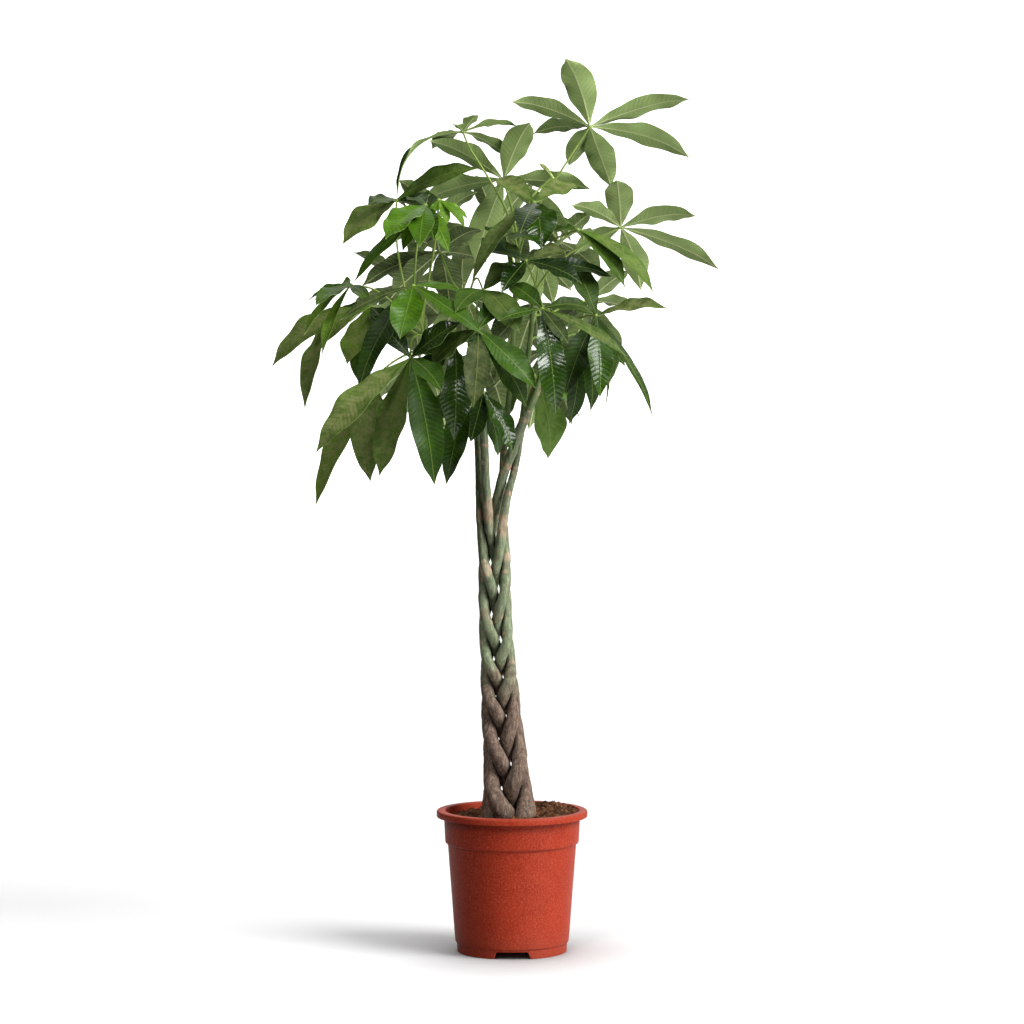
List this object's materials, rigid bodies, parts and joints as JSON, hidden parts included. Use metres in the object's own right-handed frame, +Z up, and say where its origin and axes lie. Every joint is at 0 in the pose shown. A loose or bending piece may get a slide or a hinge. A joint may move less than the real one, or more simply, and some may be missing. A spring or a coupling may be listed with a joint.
{
  "type": "potted money tree",
  "caption": "Potted money tree: five slim trunks braided into one column, a loose crown of hand-shaped leaves, in a plastic grower's pot filled with soil",
  "frame": {"origin": "middle of the whole plant's box, on the surface that the pot stands on", "axes": "+Z up along the trunks, -Y to the front, the side seen in the picture, +X to its right"},
  "size_m": [0.6166, 0.474, 1.228],
  "materials": {
    "pot": "moulded terracotta-coloured plastic, fine grained, slight sheen",
    "soil": "crumbly dark brown peat",
    "bark": "matt young bark, grey-brown below and sage green above, with pale scars",
    "green_shoot": "smooth green stem, satin",
    "leaf": "leathery leaf, glossy above and pale and matt below"
  },
  "bodies": {
    "root": {"pot": "pot", "soil": "soil", "trunk_left": "bark", "trunk_front": "bark", "trunk_cut": "bark", "trunk_back": "bark", "trunk_right": "bark", "shoot_top": "green_shoot", "shoot_left": "green_shoot", "shoot_back": "green_shoot", "shoot_front": "green_shoot", "shoot_right": "green_shoot", "leaf_01": "leaf", "leaf_02": "leaf", "leaf_03": "leaf", "leaf_04": "leaf", "leaf_05": "leaf", "leaf_06": "leaf", "leaf_07": "leaf", "leaf_08": "leaf", "leaf_09": "leaf", "leaf_10": "leaf", "leaf_11": "leaf", "leaf_12": "leaf", "leaf_13": "leaf", "leaf_14": "leaf", "leaf_15": "leaf", "leaf_16": "leaf", "leaf_17": "leaf", "leaf_18": "leaf", "leaf_19": "leaf", "leaf_20": "leaf", "leaf_21": "leaf", "leaf_22": "leaf", "leaf_23": "leaf", "leaf_24": "leaf", "leaf_25": "leaf", "leaf_26": "leaf", "leaf_27": "leaf", "leaf_28": "leaf", "leaf_29": "leaf", "leaf_30": "leaf", "leaf_31": "leaf", "leaf_32": "leaf", "leaf_33": "leaf", "leaf_34": "leaf", "leaf_35": "leaf", "leaf_36": "leaf", "leaf_37": "leaf", "leaf_38": "leaf"}
  },
  "joints": []
}
